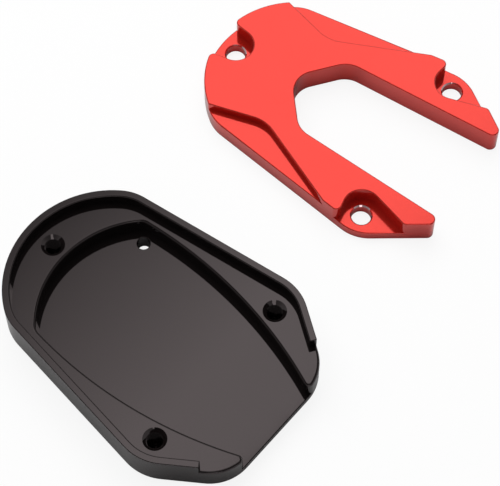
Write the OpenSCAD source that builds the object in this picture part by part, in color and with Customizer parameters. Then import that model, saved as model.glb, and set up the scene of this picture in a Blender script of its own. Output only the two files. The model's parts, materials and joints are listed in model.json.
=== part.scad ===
// Foot enlarger for a motorbike's side stand: a deep base plate that goes under the stand's own foot,
// and a U-shaped clamp plate that is screwed down over it. The two plates lie side by side, unassembled.
// Frame: millimetres, +Z up. The base plate's axis of symmetry is X, its round end is at -X and its open
// end at +X, and the origin is on its underside, halfway along it. The clamp plate lies beside it at +Y.

/* [Base plate] */
// Length of the base plate along its axis
base_len = 85.4; // [76:0.1:100]
// Width of the base plate where its side and nose lines would meet, at the hips
hip_span = 63.4; // [56:0.1:72]
// Distance of the hips from the flat front
nose_len = 19; // [16:0.1:22.7]
// Angle by which each long side flares towards the open end
flare = 7.7; // [5:0.1:10]
// Angle by which each nose line tapers to the front
taper = 34.5; // [28:0.5:40]
// Distance by which the round end's circle reaches past the side lines
end_bulge = 1.73; // [0.9:0.01:5]
// Radius between the round end and a long side
shoulder_r = 13.4; // [8:0.1:18]
// Radius between a long side and a nose line
hip_r = 14; // [8:0.5:18]
// Radius between a nose line and the flat front
nose_r = 12.5; // [8:0.5:14]
// Height of the base plate over its rim
base_h = 14; // [12:0.1:18]
// Height of the rim above the ledge
rim_h = 3.6; // [2:0.1:5]
// Thickness of the rim
rim_w = 2; // [1.4:0.1:3]
// Distance of the rim's ends from the flat front, on the rim's outer face
rim_stop = 6.4; // [5.6:0.1:10.7]
// Height and width of the bevel round the underside
sole_bevel = 3.2; // [1:0.1:4]

/* [Foot pocket] */
// Depth of the pocket below the ledge
pocket_deep = 5.3; // [3:0.1:7]
// Distance of the pocket's closed end from the round end
pocket_end_edge = 12.1; // [11.2:0.1:14.7]
// Distance by which each side of the pocket, at its widest, lies inside the hips
pocket_inset = 9.8; // [9.2:0.1:12.7]
// Distance by which the radius of the pocket's closed end is more than half its width
pocket_end_ease = 7.4; // [4:0.1:12.1]
// Place of the pocket's greatest width, from the middle of the plate
pocket_belly_x = -5.9; // [-8:0.1:0]
// Radius of the pocket's long sides
pocket_side_r = 123; // [110:1:160]
// Radius in the pocket's two corners
pocket_corner_r = 3.2; // [2:0.1:5]
// Radius of the ledge's two tips beside the pocket's open end
ledge_tip_r = 1.4; // [0.5:0.1:2]
// Diameter of the drain hole in the pocket's floor
drain_d = 3.5; // [2:0.1:5]
// Distance of the drain hole from the pocket's long side
drain_edge = 3.4; // [3.2:0.1:6]
// Distance of the drain hole from the pocket's closed end, along the plate
drain_end = 11.3; // [9.6:0.1:40]

/* [Screw holes] */
// Distance of the end screw from the round end
screw_end_edge = 7.5; // [6.7:0.1:7.8]
// Distance of the two side screws behind the hips
screw_back = 1.9; // [-0.3:0.1:3.7]
// Distance of the two side screws from the long sides
screw_side_edge = 7.92; // [6.4:0.01:8.4]
// Core diameter of the threaded holes
tap_d = 4.2; // [4:0.1:5]
// Depth of the threaded holes below the ledge
tap_deep = 8; // [5:0.1:8.5]
// Rim diameter of the threaded holes' countersinks
tap_rim_d = 6.4; // [5.6:0.1:7]
// Diameter of the clearance holes
clear_d = 5.5; // [5.2:0.1:6]
// Rim diameter of the clearance holes' countersinks
clear_rim_d = 6.2; // [5.8:0.1:7]

/* [Clamp plate] */
// Thickness of the clamp plate
clamp_h = 8.2; // [7:0.1:10]
// Gap between the clamp plate and the base plate's rim
fit_gap = 0.3; // [0.1:0.05:0.6]
// Angle by which each side of the slot flares to its mouth
slot_flare = 2.7; // [0:0.1:4]
// Distance of each side of the slot inside the hips, at the middle of the plate
slot_inset = 18.75; // [17.7:0.05:20.7]
// Distance from the round end to where the slot's slanted end lines would meet
slot_end_edge = 26.3; // [24.7:0.1:30]
// Angle of the slot's slanted end lines to the axis
slot_slant = 49.7; // [40:0.1:60]
// Radius at the closed end of the slot
slot_tip_r = 6.5; // [3:0.5:8]
// Radius between the slanted end lines and the sides of the slot
slot_corner_r = 7; // [3:0.5:10]
// Radius of the tips of the two legs
leg_tip_r = 1.8; // [1:0.1:2.4]

/* [Screw pockets] */
// Thickness left under the screw heads
seat_h = 3.2; // [2.5:0.1:4]
// Radius of the pocket round each screw head
head_r = 5.1; // [4.6:0.1:5.4]
// Angle by which the end pocket widens to its mouth
end_mouth_flare = 8; // [0:1:15]
// Lean of the side pockets' rear walls from square to the axis
side_mouth_lean = 10; // [0:1:20]
// Angle of the side pockets' long walls to the axis
side_wall_angle = 16.6; // [10:0.1:20]
// Radius of the corners at the pockets' mouths
mouth_r = 1.6; // [0.8:0.1:2]

/* [Side steps] */
// Height left outside the side steps
step_h = 5.7; // [4:0.1:6.5]
// Distance along the plate from the slot's end to where each step comes closest to the axis
step_ahead = 1.8; // [0:0.1:4.4]
// Distance of that place outside the slot's side
step_out = 2.85; // [2.5:0.05:5.05]
// Angle of the step's line towards the round end
step_rear_angle = 15.4; // [10:0.1:20]
// Angle of the step's line towards the open end
step_front_angle = 24.3; // [20:0.1:30]
// Radius where the two lines meet
step_r = 10; // [4:0.5:14]

/* [Layout] */
// Place of the clamp plate's middle beside the base plate, along it
clamp_x = -5.3; // [-30:0.1:30]
// Gap between the two plates' hips if both lay straight
lay_gap = 20.5; // [6.6:0.1:46.6]
// Angle by which the clamp plate lies turned
clamp_turn = 6.5; // [-20:0.1:20]

/* [Hidden] */
$fn = 96;
// Facets of a full circle of the pocket's wide side arcs
wide_arc_fn = 360;

anodised_black = [0.07, 0.07, 0.075];
anodised_red = [0.85, 0.12, 0.10];

// Heights of the ledge and of the pocket's floor over the underside
ledge_z = base_h - rim_h;
floor_z = ledge_z - pocket_deep;
// Places of the flat front and of the hips
front_x = base_len / 2;
hip_x = front_x - nose_len;
hip_y = hip_span / 2;
// Radius of the round end, whose circle reaches past the side lines by the named distance
end_r = (hip_y * cos(flare) - (front_x + hip_x) * sin(flare) + end_bulge) / (1 - sin(flare));
// Half the pocket's width at its widest
pocket_half = hip_y - pocket_inset;
// Places of the screws, shared by both plates
screw_side_x = hip_x - screw_back;
screw_side_y = hip_y - screw_back * tan(flare) - screw_side_edge / cos(flare);
screw_end = [screw_end_edge - front_x, 0];
screw_side = [screw_side_x, screw_side_y];
screw_places = [screw_end, screw_side, [screw_side_x, -screw_side_y]];
// Point angle of the drill for the threaded holes
drill_point = 118;
// Distance by which a cut runs past the face it opens
over = 1;
// A length that runs from any place in the plate to beyond its edge
reach = base_len;
// Height by which an arc stands proud of the flats that it joins, so that their faces cross
proud = 0.002;
// Distance by which the round end's sector stops short of its ends
sector_short = 0.1;

// Plane geometry: a line is [point, unit direction], and the plate lies on a line's right-hand side.
function heading(angle) = [cos(angle), sin(angle)];
function right_of(line) = [line[1][1], -line[1][0]];
function along(line, s) = line[0] + s * line[1];
function shifted(line, d) = [line[0] + d * right_of(line), line[1]];
function cross2(a, b) = a[0] * b[1] - a[1] * b[0];
function meet(a, b) = along(a, cross2(b[0] - a[0], b[1]) / cross2(a[1], b[1]));
function unit(v) = v / norm(v);
function mirrored(points) = [for (i = [len(points) - 1 : -1 : 0]) [points[i][0], -points[i][1]]];

// Centre of an arc of radius r that touches two lines from their right-hand sides
function centre_in(a, b, r) = meet(shifted(a, r), shifted(b, r));

// Centre of an arc of radius r inside a circle and to the right of a line, where the line enters the
// circle (side = -1) or leaves it (side = 1)
function centre_in_circle(c, big_r, line, r, side) =
    let (
        s = shifted(line, r),
        w = s[0] - c,
        b = w * s[1],
        h = b * b - w * w + (big_r - r) * (big_r - r)
    )
    along(s, side * sqrt(h) - b);

// Point at the distances d1 from c1 and d2 from c2, on the right-hand side of the way from c1 to c2
function point_off(c1, d1, c2, d2) =
    let (
        d = norm(c2 - c1),
        s = (d * d + d1 * d1 - d2 * d2) / (2 * d),
        u = (c2 - c1) / d
    )
    c1 + s * u + sqrt(d1 * d1 - s * s) * right_of([c1, u]);

// Lines and arc centres of the upper half of the base plate's outline
side_line = [[hip_x, hip_y], heading(flare)];
nose_line = [[hip_x, hip_y], heading(-taper)];
front_line = [[front_x, 0], heading(-90)];
end_c = [end_r - front_x, 0];
shoulder_c = centre_in_circle(end_c, end_r, side_line, shoulder_r, -1);
hip_c = centre_in(side_line, nose_line, hip_r);
nose_c = centre_in(nose_line, front_line, nose_r);
shoulder_dir = unit(shoulder_c - end_c);

// Points of the upper half of the outline where the round end's, shoulder's and hip's arcs end, drawn
// in by a given inset
function rear_points(inset) = [
    end_c + (end_r - inset) * shoulder_dir,
    shoulder_c - (shoulder_r - inset) * right_of(side_line),
    hip_c - (hip_r - inset) * right_of(side_line),
    hip_c - (hip_r - inset) * right_of(nose_line)
];

// Points of the base plate's whole outline where its arcs end, drawn in by a given inset
function outline_points(inset) =
    let (
        nose = [
            nose_c - (nose_r - inset) * right_of(nose_line),
            nose_c - (nose_r - inset) * right_of(front_line)
        ],
        upper = concat(rear_points(inset), nose)
    )
    concat(upper, mirrored(upper));

// Pie-shaped part of the plane that the round end's arc takes up. It stops a little short of the
// shoulders' arcs, which cover the rest.
module end_sector() {
    apex = end_c - [sector_short, 0];
    edge = apex + reach * shoulder_dir;
    polygon(concat([apex], mirrored([edge]), [[-reach, 0]], [edge]));
}

module both_sides() {
    children();
    mirror([0, 1, 0]) children();
}

module cone_at(place, h, low_r, high_r) {
    translate([place[0], place[1], 0]) cylinder(h = h, r1 = low_r, r2 = high_r);
}

// Flat-sided part of a bevelled slab, between the outline's arcs
module bevelled_core(h, low, high) {
    n = len(outline_points(0));
    ring = [for (i = [0 : n - 1]) i];
    lower = [for (p = outline_points(low)) [p[0], p[1], 0]];
    upper = [for (p = outline_points(high)) [p[0], p[1], h]];
    walls = [for (i = ring) [i, (i + 1) % n, n + (i + 1) % n, n + i]];
    polyhedron(
        points = concat(lower, upper),
        faces = concat([[for (i = ring) n - 1 - i]], [[for (i = ring) n + i]], walls)
    );
}

// Rounded parts of a slab at its round end, shoulders and hips, drawn in by one inset at its foot and by
// another at its top
module rear_arcs(h, low, high) {
    intersection() {
        cone_at(end_c, h, end_r - low, end_r - high);
        linear_extrude(h) end_sector();
    }
    both_sides() {
        cone_at(shoulder_c, h, shoulder_r + proud - low, shoulder_r + proud - high);
        cone_at(hip_c, h, hip_r + proud - low, hip_r + proud - high);
    }
}

// Slab of the base plate's outline, drawn in by the same insets
module slab(h, low, high) {
    union() {
        if (low == high) linear_extrude(h) polygon(outline_points(low));
        else bevelled_core(h, low, high);
        rear_arcs(h, low, high);
        both_sides() cone_at(nose_c, h, nose_r + proud - low, nose_r + proud - high);
    }
}

// Circles and arc centres of the upper half of the foot pocket
pocket_end_x = pocket_end_edge - front_x;
pocket_end_r = pocket_half + pocket_end_ease;
pocket_end_c = [pocket_end_x + pocket_end_r, 0];
pocket_side_c = [pocket_belly_x, pocket_half - pocket_side_r];
pocket_corner_c =
    point_off(pocket_end_c, pocket_end_r - pocket_corner_r, pocket_side_c, pocket_side_r - pocket_corner_r);
ledge_tip_c = point_off(pocket_side_c, pocket_side_r + ledge_tip_r, nose_c, nose_r - ledge_tip_r);

// Area of the foot pocket, which runs out through the flat front
module pocket_area() {
    end_touch = pocket_end_c + pocket_end_r * unit(pocket_corner_c - pocket_end_c);
    side_touch = pocket_side_c + pocket_side_r * unit(pocket_corner_c - pocket_side_c);
    corner_cut = [[-reach, end_touch[1]], end_touch, side_touch, [side_touch[0], reach], [reach, reach]];
    intersection() {
        polygon(concat(corner_cut, mirrored(corner_cut)));
        union() {
            translate(pocket_end_c) circle(pocket_end_r);
            translate([0, -reach]) square([reach, 2 * reach]);
        }
        translate(pocket_side_c) circle(pocket_side_r, $fn = wide_arc_fn);
        mirror([0, 1, 0]) translate(pocket_side_c) circle(pocket_side_r, $fn = wide_arc_fn);
    }
    both_sides() translate(pocket_corner_c) circle(pocket_corner_r + proud);
}

// What rounds the upper tip of the ledge, between the pocket's side and the plate's edge
module ledge_tip_waste() {
    inward = unit(pocket_side_c - ledge_tip_c);
    outward = unit(ledge_tip_c - nose_c);
    pocket_touch = ledge_tip_c + ledge_tip_r * inward;
    edge_touch = ledge_tip_c + ledge_tip_r * outward;
    past_tip = ledge_tip_c + reach * unit(inward + outward);
    difference() {
        polygon([ledge_tip_c, pocket_touch, past_tip, edge_touch]);
        translate(ledge_tip_c) circle(ledge_tip_r + 2 * proud);
    }
}

// Area in front of the rim's two ends, where the ledge runs out to the edge
module rim_gap_area() {
    stop = along(nose_line, (nose_len - rim_stop) / cos(taper));
    outer = stop - over * right_of(nose_line);
    inner = stop + (rim_w + over) * right_of(nose_line);
    upper = [[inner[0], 0], inner, outer, [reach, outer[1]]];
    polygon(concat(upper, mirrored(upper)));
}

// Blind tapped hole, its mouth at the origin: countersink, core and drill point
module tapped_hole() {
    sink = (tap_rim_d - tap_d) / 2;
    point = tap_d / 2 / tan(drill_point / 2);
    translate([0, 0, -tap_deep]) cylinder(h = tap_deep + over, d = tap_d);
    translate([0, 0, -tap_deep - point]) cylinder(h = point, d1 = 0, d2 = tap_d);
    translate([0, 0, -sink]) cylinder(h = sink, d1 = tap_d, d2 = tap_rim_d);
}

module base_plate() {
    drain_x = pocket_end_x + drain_end;
    drain_y = pocket_side_c[1] + sqrt(pow(pocket_side_r, 2) - pow(drain_x - pocket_belly_x, 2)) - drain_edge;
    color(anodised_black)
    difference() {
        union() {
            slab(sole_bevel, sole_bevel, 0);
            translate([0, 0, sole_bevel]) slab(base_h - sole_bevel, 0, 0);
        }
        translate([0, 0, ledge_z]) slab(rim_h + over, rim_w, rim_w);
        translate([0, 0, ledge_z]) linear_extrude(rim_h + over) rim_gap_area();
        translate([0, 0, floor_z]) linear_extrude(base_h) pocket_area();
        translate([0, 0, floor_z]) linear_extrude(base_h) both_sides() ledge_tip_waste();
        for (place = screw_places) translate([place[0], place[1], ledge_z]) tapped_hole();
        translate([drain_x, drain_y, -over]) cylinder(h = base_h, d = drain_d);
    }
}

// Lines and arc centres of the upper half of the clamp plate's slot, which lies left of its lines
slot_tip_x = slot_end_edge - front_x;
slot_half = hip_y - slot_inset;
slot_slant_line = [[slot_tip_x, 0], heading(slot_slant)];
slot_side_line = [[0, slot_half], heading(slot_flare)];
slot_tip_c = [slot_tip_x + slot_tip_r / sin(slot_slant), 0];
slot_corner_c = centre_in(slot_slant_line, slot_side_line, slot_corner_r);

// Area of the slot that the stand's leg passes through
module slot_area() {
    upper = [
        slot_tip_c - slot_tip_r * right_of(slot_slant_line),
        slot_corner_c - slot_corner_r * right_of(slot_slant_line),
        slot_corner_c - slot_corner_r * right_of(slot_side_line),
        along(slot_side_line, reach)
    ];
    polygon(concat(upper, mirrored(upper)));
    translate(slot_tip_c) circle(slot_tip_r + proud);
    both_sides() translate(slot_corner_c) circle(slot_corner_r + proud);
}

// The clamp plate's own lines are the base plate's, drawn in by the rim and the gap
clamp_inset = rim_w + fit_gap;
clamp_side = shifted(side_line, clamp_inset);
clamp_nose = shifted(nose_line, clamp_inset);
// A leg lies to the left of the slot's side line, so that line is turned round here
slot_side_back = [slot_side_line[0], -slot_side_line[1]];

// What a corner of radius r takes off between two lines that have the plate on their right
module corner_waste(a, b, r) {
    c = centre_in(a, b, r);
    a_touch = c - r * right_of(a);
    b_touch = c - r * right_of(b);
    a_over = over * right_of(a);
    b_over = over * right_of(b);
    difference() {
        polygon([a_touch, a_touch - a_over, meet(a, b) - a_over - b_over, b_touch - b_over, b_touch, c]);
        translate(c) circle(r + proud);
    }
}

// U-shaped blank of the clamp plate, whose nose lines run on straight to its two legs' rounded tips
module clamp_blank() {
    axis = [[0, 0], heading(0)];
    rear = rear_points(clamp_inset);
    difference() {
        union() {
            linear_extrude(clamp_h) polygon(concat(rear, [meet(clamp_nose, axis)], mirrored(rear)));
            rear_arcs(clamp_h, clamp_inset, clamp_inset);
        }
        translate([0, 0, -over]) linear_extrude(clamp_h + 2 * over) {
            slot_area();
            both_sides() corner_waste(clamp_nose, slot_side_back, leg_tip_r);
        }
    }
}

// Pocket round the screw head at the round end, with its mouth's corners rounded
module end_pocket_area() {
    clamp_end_r = end_r - clamp_inset;
    wall_dir = heading(180 - end_mouth_flare);
    wall = [screw_end - head_r * right_of([screw_end, -wall_dir]), wall_dir];
    corner_c = centre_in_circle(end_c, clamp_end_r, wall, mouth_r, 1);
    outward = unit(corner_c - end_c);
    edge = [end_c + clamp_end_r * outward, [outward[1], -outward[0]]];
    upper = [wall[0], along(wall, reach)];
    polygon(concat(upper, mirrored(upper)));
    translate(screw_end) circle(head_r + proud);
    both_sides() corner_waste(wall, edge, mouth_r);
}

// Pocket round the upper side's screw head, with a short rear wall and a long wall towards the leg's tip
module side_pocket_area() {
    rear_dir = heading(90 - side_mouth_lean);
    rear_wall = [screw_side - head_r * right_of([screw_side, rear_dir]), -rear_dir];
    long_dir = heading(side_wall_angle);
    long_wall = [screw_side + head_r * right_of([screw_side, long_dir]), long_dir];
    polygon([screw_side, rear_wall[0], along(rear_wall, -reach), along(long_wall, reach), long_wall[0]]);
    translate(screw_side) circle(head_r + proud);
    corner_waste(clamp_side, rear_wall, mouth_r);
    corner_waste(long_wall, clamp_nose, mouth_r);
}

// Area of the step beside the upper side of the slot, rounded where it comes closest to the axis
module side_step_area() {
    elbow = [slot_tip_x + step_ahead, slot_half + step_out];
    front_in = [elbow, -heading(step_front_angle)];
    rear_out = [elbow, heading(180 - step_rear_angle)];
    c = centre_in(front_in, rear_out, step_r);
    front_touch = c - step_r * right_of(front_in);
    rear_touch = c - step_r * right_of(rear_out);
    polygon([along(front_in, -reach), front_touch, rear_touch, along(rear_out, reach)]);
    translate(c) circle(step_r + proud);
}

module clearance_hole() {
    sink = (clear_rim_d - clear_d) / 2;
    translate([0, 0, -over]) cylinder(h = clamp_h, d = clear_d);
    translate([0, 0, seat_h - sink]) cylinder(h = sink, d1 = clear_d, d2 = clear_rim_d);
}

module clamp_plate() {
    color(anodised_red)
    translate([clamp_x, hip_span + lay_gap, 0]) rotate(clamp_turn)
    difference() {
        clamp_blank();
        translate([0, 0, seat_h]) linear_extrude(clamp_h) {
            end_pocket_area();
            both_sides() side_pocket_area();
        }
        translate([0, 0, step_h]) linear_extrude(clamp_h) both_sides() side_step_area();
        for (place = screw_places) translate(place) clearance_hole();
    }
}

base_plate();
clamp_plate();
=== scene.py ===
import json
import math

import bmesh
import bpy
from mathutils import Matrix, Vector

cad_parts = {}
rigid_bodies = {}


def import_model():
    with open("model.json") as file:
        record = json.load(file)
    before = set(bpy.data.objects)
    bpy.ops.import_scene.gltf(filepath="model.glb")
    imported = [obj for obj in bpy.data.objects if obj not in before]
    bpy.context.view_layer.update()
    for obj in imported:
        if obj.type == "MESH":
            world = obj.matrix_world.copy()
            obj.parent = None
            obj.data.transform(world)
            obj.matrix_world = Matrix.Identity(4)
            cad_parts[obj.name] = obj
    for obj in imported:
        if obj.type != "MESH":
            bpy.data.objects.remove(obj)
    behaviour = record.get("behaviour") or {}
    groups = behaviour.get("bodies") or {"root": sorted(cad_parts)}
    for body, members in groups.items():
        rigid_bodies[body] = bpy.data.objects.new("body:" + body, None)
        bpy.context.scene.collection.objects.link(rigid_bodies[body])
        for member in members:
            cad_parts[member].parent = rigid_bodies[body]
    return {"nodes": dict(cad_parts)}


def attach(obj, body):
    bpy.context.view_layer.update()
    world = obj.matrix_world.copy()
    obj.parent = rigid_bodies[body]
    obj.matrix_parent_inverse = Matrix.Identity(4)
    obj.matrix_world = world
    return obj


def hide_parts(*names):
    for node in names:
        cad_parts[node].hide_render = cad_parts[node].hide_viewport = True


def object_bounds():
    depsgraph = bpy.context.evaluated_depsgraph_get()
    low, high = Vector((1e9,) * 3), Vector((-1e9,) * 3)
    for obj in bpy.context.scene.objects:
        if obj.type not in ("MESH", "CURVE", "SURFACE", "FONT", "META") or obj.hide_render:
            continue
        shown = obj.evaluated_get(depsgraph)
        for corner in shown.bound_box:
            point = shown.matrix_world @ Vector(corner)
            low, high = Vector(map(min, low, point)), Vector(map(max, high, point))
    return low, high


for start_object in list(bpy.data.objects):
    bpy.data.objects.remove(start_object)

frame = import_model()
cad_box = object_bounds()

MM = 0.001
WHITE = (1, 1, 1, 1)

# Camera: the photo's viewing angle, worked out from the plates' outlines
IMAGE_WIDTH_PX = 500
FOCAL_PX = 2050.65
SENSOR_MM = 36
CAMERA_PLACE = Vector((163.64, -152.26, 494.23)) * MM
CAMERA_TURN_DEG = 40.55
CAMERA_PITCH_DEG = 63.09
CLIP_NEAR = 0.01
CLIP_FAR = 20

# Edge breaks of the machined plates, on the outer edges that turn by more than BREAK_DEG. They
# are wider along the base plate's ledge and round the inside of its rim.
BLACK_BREAK = 0.2 * MM
RED_BREAK = 0.3 * MM
LEDGE_BREAK = 0.7 * MM
LEDGE_TOP = 10.4 * MM
RIM_BREAK = 0.4 * MM
RIM_TOP = 14 * MM
BREAK_STEPS = 3
BREAK_DEG = 60

# Faces that meet at less than SHARP_DEG are shaded round. Triangles of one flat face, which
# differ by less than FLAT_DEG, become that face again.
SHARP_DEG = 35
FLAT_DEG = 0.3
MERGE_DISTANCE = 0.001 * MM

# Threads of the base plate's three tapped holes. Each groove has a flat bottom, slanted flanks
# and the hole's own wall between its turns, which the cutter stays clear of.
THREAD_PITCH = 0.8 * MM
THREAD_CORE_R = 2.1 * MM
THREAD_OUTER_R = 2.5 * MM
THREAD_FOOT = 2.9 * MM
THREAD_TOP = 10.6 * MM
THREAD_CLEARANCE = 0.02 * MM
GROOVE_PEAK = 1.3
GROOVE_FLANK = 3.2
THREAD_AROUND = 64
THREAD_PER_PITCH = 16
TAPPED_HOLES_MM = ((-35.2, 0), (21.8, 23.45), (21.8, -23.45))

# Countersinks are the faces whose normal's height is in this range
COUNTERSINK_SLOPE = (0.6, 0.8)

# Faint clouds in the dye and the gloss: cells per metre, and the part of the noise that is used
CLOUD_SCALE = 60
CLOUD_DETAIL = 3
CLOUD_RANGE = (0.3, 0.7)

# Studio light: a fill from the world, a square lamp over the plates, and a floor that glows for
# the camera, lies as white paper under the plates and is grey in reflections
WORLD_FILL = 0.25
OVERHEAD_DIRECTION = (-0.45, 0.25, 0.86)
OVERHEAD_WATTS = 14
OVERHEAD_SIZE = 1.2
OVERHEAD_DISTANCE = 1.0
FLOOR_GLOW = 0.88
FLOOR_PAPER = 0.85
FLOOR_IN_REFLECTIONS = 0.5
FLOOR_HALF = 3.0

# Panels over the plates, seen only in reflections. From the photo's angle, the black plate mirrors
# the near panel, which is dimmer at its left, and the red plate the far panel. The glint panel
# shows in the edges and countersinks that face the camera, and the top panel from straight above.
# The card behind them is dark over the plates and grey further out, where lower views mirror it.
PANEL_HEIGHT = 1.0
PANEL_X = (-0.75, -0.2)
NEAR_PANEL_Y = (0.2, 0.43)
FAR_PANEL_Y = (0.43, 0.85)
NEAR_FADE_X = (-0.47, -0.28)
NEAR_FADE = (0.4, 1.42)
FAR_LEVEL = 1.1
TOP_X = (-0.17, 0.2)
TOP_Y = (-0.2, 0.3)
TOP_LEVEL = 0.5
GLINT_X = (1.1, 1.9)
GLINT_Y = (-1.8, -1.0)
GLINT_LEVEL = 1.5
SURROUND_HEIGHT = 1.02
SURROUND_REACH = 30.0
SURROUND_FADE_DISTANCE = (1.5, 3.2)
SURROUND_FADE = (0.08, 0.4)


def new_object(name, data):
    """Object of a mesh, lamp or camera, put in the scene."""
    made = bpy.data.objects.new(name, data)
    bpy.context.scene.collection.objects.link(made)
    return made


def make_camera():
    data = bpy.data.cameras.new("camera")
    data.sensor_width = SENSOR_MM
    data.lens = FOCAL_PX * SENSOR_MM / IMAGE_WIDTH_PX
    data.clip_start = CLIP_NEAR
    data.clip_end = CLIP_FAR
    camera = new_object("camera", data)
    camera.location = CAMERA_PLACE
    camera.rotation_euler = (math.radians(90 - CAMERA_PITCH_DEG), 0, math.radians(CAMERA_TURN_DEG))
    bpy.context.scene.camera = camera


def empty_tree(owner, output_type):
    """Node tree of a material or world, with nothing but its output."""
    owner.use_nodes = True
    nodes = owner.node_tree.nodes
    nodes.clear()
    return nodes, owner.node_tree.links, nodes.new(output_type)


def clouds(nodes, links):
    """Soft noise in the object's own frame."""
    place = nodes.new("ShaderNodeTexCoord")
    texture = nodes.new("ShaderNodeTexNoise")
    texture.inputs["Scale"].default_value = CLOUD_SCALE
    texture.inputs["Detail"].default_value = CLOUD_DETAIL
    links.new(place.outputs["Object"], texture.inputs["Vector"])
    return texture.outputs["Fac"]


def rescaled(nodes, links, value, span, levels):
    """Maps a value from one range to another, and keeps it inside."""
    scale = nodes.new("ShaderNodeMapRange")
    scale.inputs["From Min"].default_value, scale.inputs["From Max"].default_value = span
    scale.inputs["To Min"].default_value, scale.inputs["To Max"].default_value = levels
    links.new(value, scale.inputs["Value"])
    return scale.outputs["Result"]


def tint(nodes, links, value, dark, light):
    """Colour between dark and light by a noise."""
    mix = nodes.new("ShaderNodeMix")
    mix.data_type = "RGBA"
    mix.inputs["A"].default_value = (*dark, 1)
    mix.inputs["B"].default_value = (*light, 1)
    links.new(value, mix.inputs["Factor"])
    return mix.outputs["Result"]


def anodised(name, dark, light, metallic, ior, roughness, reflection_tint, coat):
    """Anodised metal: faint clouds in the dye and in the gloss."""
    material = bpy.data.materials.new(name)
    nodes, links, output = empty_tree(material, "ShaderNodeOutputMaterial")
    shader = nodes.new("ShaderNodeBsdfPrincipled")
    links.new(shader.outputs["BSDF"], output.inputs["Surface"])
    shader.inputs["Metallic"].default_value = metallic
    shader.inputs["IOR"].default_value = ior
    shader.inputs["Specular Tint"].default_value = (*reflection_tint, 1)
    shader.inputs["Coat Weight"].default_value = coat
    shader.inputs["Coat Roughness"].default_value = roughness[0]
    cloud = clouds(nodes, links)
    links.new(tint(nodes, links, cloud, dark, light), shader.inputs["Base Color"])
    gloss = rescaled(nodes, links, cloud, CLOUD_RANGE, roughness)
    links.new(gloss, shader.inputs["Roughness"])
    return material


def to_be_broken(edge):
    """Whether the edge is an outer one that turns sharply."""
    return edge.is_manifold and edge.is_convex and edge.calc_face_angle(0) > math.radians(BREAK_DEG)


def at_height(edge, height):
    """Whether both ends of the edge lie at a height."""
    return all(abs(corner.co.z - height) < MERGE_DISTANCE for corner in edge.verts)


def faces_inward(edge):
    """Whether the wall at the edge looks towards the plate's middle."""
    wall = min(edge.link_faces, key=lambda face: abs(face.normal.z))
    place = (edge.verts[0].co + edge.verts[1].co) / 2
    return wall.normal.x * place.x + wall.normal.y * place.y < 0


def break_width(edge, edge_break):
    """Width of the edge's break: the plate's own, but on the base plate's ledge and rim."""
    if at_height(edge, LEDGE_TOP):
        return LEDGE_BREAK
    if at_height(edge, RIM_TOP) and faces_inward(edge):
        return RIM_BREAK
    return edge_break


def clean_mesh(name, node, edge_break):
    """Mesh of a CAD plate that holds the width of each edge's break, in mm. Countersinks get the
    second material."""
    low, high = COUNTERSINK_SLOPE
    work = bmesh.new()
    work.from_mesh(frame["nodes"][node].data)
    bmesh.ops.remove_doubles(work, verts=work.verts, dist=MERGE_DISTANCE)
    flat = math.radians(FLAT_DEG)
    bmesh.ops.dissolve_limit(work, angle_limit=flat, verts=work.verts, edges=work.edges)
    work.normal_update()
    for face in work.faces:
        face.material_index = 1 if low < face.normal.z < high else 0
    width = work.edges.layers.float.new("bevel_weight_edge")
    for edge in work.edges:
        if to_be_broken(edge):
            edge[width] = break_width(edge, edge_break) / MM
    mesh = bpy.data.meshes.new(name)
    work.to_mesh(mesh)
    work.free()
    return mesh


def bake_modifiers(plate):
    """Puts what the modifiers make in place of the plate's mesh."""
    bpy.context.view_layer.update()
    shaped = plate.evaluated_get(bpy.context.evaluated_depsgraph_get())
    plain = plate.data
    plate.data = bpy.data.meshes.new_from_object(shaped)
    plate.modifiers.clear()
    bpy.data.meshes.remove(plain)


def break_edges(plate):
    """Rounds each edge by the width that the mesh holds for it, counted in mm."""
    rounds = plate.modifiers.new("edge breaks", "BEVEL")
    rounds.limit_method = "WEIGHT"
    rounds.width = MM
    rounds.segments = BREAK_STEPS
    rounds.offset_type = "OFFSET"
    rounds.use_clamp_overlap = False
    rounds.loop_slide = False
    bake_modifiers(plate)


def thread_radius(phase):
    """Radius of the cutter's wall at a phase of the pitch from 0 to 1, with a groove in the middle."""
    depth = min(1, max(0, GROOVE_PEAK - GROOVE_FLANK * abs(phase - 0.5)))
    return THREAD_CORE_R - THREAD_CLEARANCE + (THREAD_OUTER_R - THREAD_CORE_R) * depth


def thread_cutter(x, y):
    """Closed column with a thread's wall, standing at a tapped hole."""
    levels = round((THREAD_TOP - THREAD_FOOT) / THREAD_PITCH * THREAD_PER_PITCH)
    points = []
    for level in range(levels + 1):
        height = THREAD_FOOT + level * THREAD_PITCH / THREAD_PER_PITCH
        for step in range(THREAD_AROUND):
            turn = step / THREAD_AROUND
            radius = thread_radius((level / THREAD_PER_PITCH - turn) % 1)
            angle = 2 * math.pi * turn
            points.append((x + radius * math.cos(angle), y + radius * math.sin(angle), height))
    faces = []
    for level in range(levels):
        low = level * THREAD_AROUND
        high = low + THREAD_AROUND
        for step in range(THREAD_AROUND):
            after = (step + 1) % THREAD_AROUND
            faces.append((low + step, low + after, high + after, high + step))
    last = levels * THREAD_AROUND
    faces.append(tuple(reversed(range(THREAD_AROUND))))
    faces.append(tuple(range(last, last + THREAD_AROUND)))
    mesh = bpy.data.meshes.new("thread_cutter")
    mesh.from_pydata(points, [], faces)
    return new_object("thread_cutter", mesh)


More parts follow.
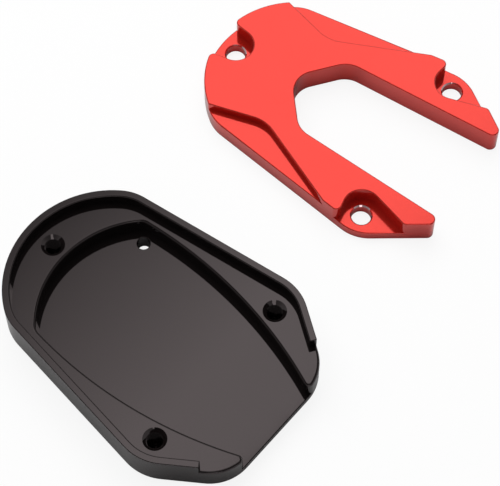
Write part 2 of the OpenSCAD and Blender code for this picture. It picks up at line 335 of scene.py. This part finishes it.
def cut_threads(plate):
    """Takes the thread grooves out of the plate's tapped holes."""
    cutters = [thread_cutter(x * MM, y * MM) for x, y in TAPPED_HOLES_MM]
    for cutter in cutters:
        cut = plate.modifiers.new("thread", "BOOLEAN")
        cut.operation = "DIFFERENCE"
        cut.solver = "EXACT"
        cut.object = cutter
    bake_modifiers(plate)
    for cutter in cutters:
        bpy.data.objects.remove(cutter)


def finish_normals(plate):
    """Large faces stay flat, arcs and edge breaks are shaded round: at each corner, the faces that
    meet at less than the sharp angle share one normal, which the largest of them leads."""
    mesh = plate.data
    facing = [face.normal.copy() for face in mesh.polygons]
    size = [face.area for face in mesh.polygons]
    round_corner = [[] for corner in mesh.vertices]
    for face in mesh.polygons:
        for corner in face.vertices:
            round_corner[corner].append(face.index)
    limit = math.cos(math.radians(SHARP_DEG))
    normals = []
    for face in mesh.polygons:
        own = facing[face.index]
        for corner in face.vertices:
            shared = Vector()
            for other in round_corner[corner]:
                if facing[other].dot(own) > limit:
                    shared += facing[other] * size[other]
            normals.append(shared.normalized())
    for face in mesh.polygons:
        face.use_smooth = True
    mesh.normals_split_custom_set(normals)


def finished_plate(name, node, edge_break, materials):
    """The CAD plate with its machined edges broken, in place of the plain one."""
    mesh = clean_mesh(name, node, edge_break)
    for material in materials:
        mesh.materials.append(material)
    plate = new_object(name, mesh)
    break_edges(plate)
    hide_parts(node)
    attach(plate, "root")
    return plate


def flat_object(name, x_range, y_range, height, material):
    """Level rectangle that belongs to the stage."""
    corners = [(x_range[0], y_range[0], height), (x_range[1], y_range[0], height)]
    corners += [(x_range[1], y_range[1], height), (x_range[0], y_range[1], height)]
    mesh = bpy.data.meshes.new(name)
    mesh.from_pydata(corners, [], [(0, 1, 2, 3)])
    mesh.materials.append(material)
    made = new_object(name, mesh)
    return made


def floor_material():
    """White paper that glows for the camera and looks grey in reflections."""
    material = bpy.data.materials.new("white_sweep")
    nodes, links, output = empty_tree(material, "ShaderNodeOutputMaterial")
    path = nodes.new("ShaderNodeLightPath")
    grey = nodes.new("ShaderNodeMix")
    grey.data_type = "RGBA"
    grey.inputs["A"].default_value = (FLOOR_PAPER, FLOOR_PAPER, FLOOR_PAPER, 1)
    grey.inputs["B"].default_value = (FLOOR_IN_REFLECTIONS, FLOOR_IN_REFLECTIONS, FLOOR_IN_REFLECTIONS, 1)
    links.new(path.outputs["Is Glossy Ray"], grey.inputs["Factor"])
    paper = nodes.new("ShaderNodeBsdfDiffuse")
    links.new(grey.outputs["Result"], paper.inputs["Color"])
    glow = nodes.new("ShaderNodeEmission")
    glow.inputs["Color"].default_value = WHITE
    glow.inputs["Strength"].default_value = 1
    share = nodes.new("ShaderNodeMath")
    share.operation = "MULTIPLY"
    share.inputs[1].default_value = FLOOR_GLOW
    links.new(path.outputs["Is Camera Ray"], share.inputs[0])
    mix = nodes.new("ShaderNodeMixShader")
    links.new(share.outputs["Value"], mix.inputs["Fac"])
    links.new(paper.outputs["BSDF"], mix.inputs[1])
    links.new(glow.outputs["Emission"], mix.inputs[2])
    links.new(mix.outputs["Shader"], output.inputs["Surface"])
    return material


def make_floor():
    reach = (-FLOOR_HALF, FLOOR_HALF)
    flat_object("floor", reach, reach, 0, floor_material())


def light_material(name, levels, span=(0, 1), by_distance=False):
    """White light that goes from one level to the other along X, or with the distance from the
    plates. Two equal levels make it even."""
    material = bpy.data.materials.new(name)
    nodes, links, output = empty_tree(material, "ShaderNodeOutputMaterial")
    place = nodes.new("ShaderNodeTexCoord")
    if by_distance:
        measure = nodes.new("ShaderNodeVectorMath")
        measure.operation = "LENGTH"
    else:
        measure = nodes.new("ShaderNodeSeparateXYZ")
    links.new(place.outputs["Object"], measure.inputs[0])
    value = measure.outputs["Value" if by_distance else "X"]
    light = nodes.new("ShaderNodeEmission")
    light.inputs["Color"].default_value = WHITE
    links.new(rescaled(nodes, links, value, span, levels), light.inputs["Strength"])
    links.new(light.outputs["Emission"], output.inputs["Surface"])
    return material


def make_card(name, x_range, y_range, height, material):
    """Level rectangle over the plates that only reflections see."""
    card = flat_object(name, x_range, y_range, height, material)
    card.visible_camera = False
    card.visible_diffuse = False
    card.visible_shadow = False
    card.visible_transmission = False


def make_cards():
    near_light = light_material("near_light", NEAR_FADE, span=NEAR_FADE_X)
    make_card("near_panel", PANEL_X, NEAR_PANEL_Y, PANEL_HEIGHT, near_light)
    even_panels = (
        ("far", PANEL_X, FAR_PANEL_Y, FAR_LEVEL),
        ("top", TOP_X, TOP_Y, TOP_LEVEL),
        ("glint", GLINT_X, GLINT_Y, GLINT_LEVEL),
    )
    for name, x_range, y_range, level in even_panels:
        light = light_material(name + "_light", (level, level))
        make_card(name + "_panel", x_range, y_range, PANEL_HEIGHT, light)
    reach = (-SURROUND_REACH, SURROUND_REACH)
    surround = light_material("surround", SURROUND_FADE, span=SURROUND_FADE_DISTANCE, by_distance=True)
    make_card("surround_card", reach, reach, SURROUND_HEIGHT, surround)


def make_world():
    """Soft fill on the plates, and white for the camera and for what is mirrored or seen through."""
    world = bpy.data.worlds.new("studio")
    bpy.context.scene.world = world
    nodes, links, output = empty_tree(world, "ShaderNodeOutputWorld")
    path = nodes.new("ShaderNodeLightPath")
    seen = path.outputs["Is Camera Ray"]
    for ray in ("Is Glossy Ray", "Is Transmission Ray"):
        either = nodes.new("ShaderNodeMath")
        either.operation = "MAXIMUM"
        links.new(seen, either.inputs[0])
        links.new(path.outputs[ray], either.inputs[1])
        seen = either.outputs["Value"]
    fill = nodes.new("ShaderNodeBackground")
    fill.inputs["Color"].default_value = WHITE
    fill.inputs["Strength"].default_value = WORLD_FILL
    white = nodes.new("ShaderNodeBackground")
    white.inputs["Color"].default_value = WHITE
    white.inputs["Strength"].default_value = 1
    mix = nodes.new("ShaderNodeMixShader")
    links.new(seen, mix.inputs["Fac"])
    links.new(fill.outputs["Background"], mix.inputs[1])
    links.new(white.outputs["Background"], mix.inputs[2])
    links.new(mix.outputs["Shader"], output.inputs["Surface"])


def make_softbox(name, middle, direction, distance, size, watts):
    """Square lamp at a distance from the object's middle, turned towards it."""
    data = bpy.data.lights.new(name, "AREA")
    data.shape = "SQUARE"
    data.size = size
    data.energy = watts
    lamp = new_object(name, data)
    towards = Vector(direction).normalized()
    lamp.location = middle + towards * distance
    lamp.rotation_mode = "QUATERNION"
    lamp.rotation_quaternion = towards.to_track_quat("Z", "Y")
    lamp.visible_glossy = False


make_camera()
black = anodised(
    "anodised_black",
    dark=(0.004, 0.003, 0.003),
    light=(0.006, 0.0045, 0.0045),
    metallic=0,
    ior=1.7,
    roughness=(0.03, 0.06),
    reflection_tint=(1, 0.86, 0.87),
    coat=0,
)
red = anodised(
    "anodised_red",
    dark=(0.90, 0.036, 0.020),
    light=(0.95, 0.044, 0.026),
    metallic=0.8,
    ior=1.5,
    roughness=(0.10, 0.14),
    reflection_tint=(1, 1, 1),
    coat=1,
)
cut_red = anodised(
    "countersink_red",
    dark=(0.90, 0.60, 0.62),
    light=(0.95, 0.65, 0.67),
    metallic=1,
    ior=1.5,
    roughness=(0.06, 0.1),
    reflection_tint=(1, 1, 1),
    coat=0,
)
base = finished_plate("black_base_plate", "base_plate", BLACK_BREAK, (black, black))
cut_threads(base)
clamp = finished_plate("red_clamp_plate", "clamp_plate", RED_BREAK, (red, cut_red))
for plate in (base, clamp):
    finish_normals(plate)
make_floor()
make_world()
make_cards()
middle = (cad_box[0] + cad_box[1]) / 2
make_softbox("overhead", middle, OVERHEAD_DIRECTION, OVERHEAD_DISTANCE, OVERHEAD_SIZE, OVERHEAD_WATTS)

bpy.context.scene.view_settings.view_transform = "Standard"
